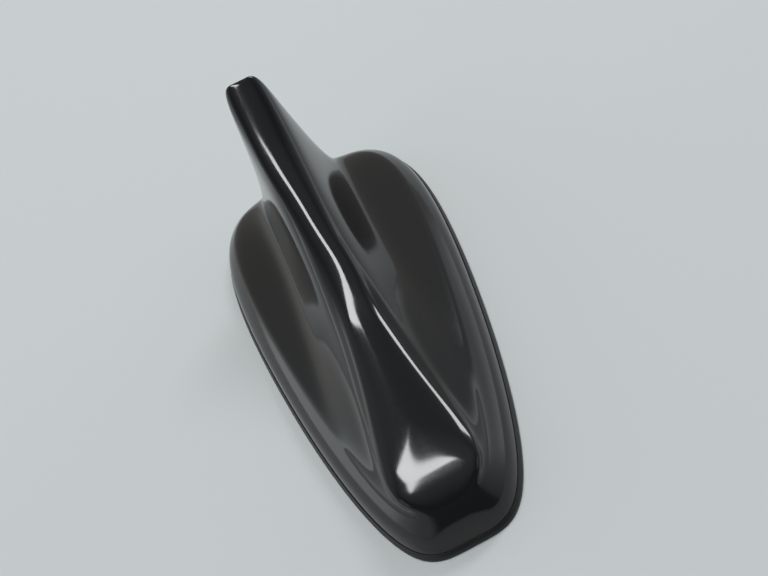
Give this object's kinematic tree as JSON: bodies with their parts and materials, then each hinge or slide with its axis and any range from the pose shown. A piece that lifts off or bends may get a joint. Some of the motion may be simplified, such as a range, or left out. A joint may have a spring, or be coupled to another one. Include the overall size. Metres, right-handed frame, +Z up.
{
  "type": "roof antenna",
  "caption": "Gloss black roof antenna with a moulded fin cover on a boat-shaped base, rubber edge, bonded foot and cable outlet.",
  "frame": {"origin": "on the roof plane, midway between nose and tail, on the plane of symmetry of the cover", "axes": "+Z up from the roof, +Y towards the tail, so the nose points along -Y, +X to the right seen from the nose"},
  "size_m": [0.0718, 0.16, 0.0614],
  "materials": {
    "gloss_black": "high-gloss moulded black",
    "rubber_black": "matt rubber",
    "foam_black": "closed-cell foam, bonded",
    "plate_black": "fine-grained moulded black",
    "steel": "zinc-plated",
    "board_green": "lacquered circuit board",
    "tinned_sheet": "tinned sheet",
    "chip_black": "moulded chip package",
    "capacitor_tan": "fired ceramic",
    "ferrite_grey": "sintered ferrite",
    "socket_cream": "moulded nylon",
    "brass": "rolled brass",
    "patch_ceramic": "glazed ceramic with a plated top",
    "foam_white": "foam square, bonded",
    "carrier_white": "moulded natural nylon",
    "copper": "enamelled copper wire"
  },
  "bodies": {
    "root": {"cover": "gloss_black", "edge_gasket": "rubber_black", "adhesive_pad": "foam_black", "base_plate": "plate_black", "cable_grommet": "rubber_black", "cover_screws": "steel", "main_board": "board_green", "board_screws": "steel", "shield_can": "tinned_sheet", "amplifier_chip": "chip_black", "tuning_capacitors": "capacitor_tan", "filter_coils": "ferrite_grey", "lead_socket": "socket_cream", "socket_pins": "brass", "gnss_patch": "patch_ceramic", "patch_pad": "foam_white", "patch_pin": "tinned_sheet", "radiator_carrier": "carrier_white", "radiator_cap": "brass", "carrier_screws": "steel", "loading_coil": "copper", "contact_spring": "brass"}
  },
  "joints": []
}
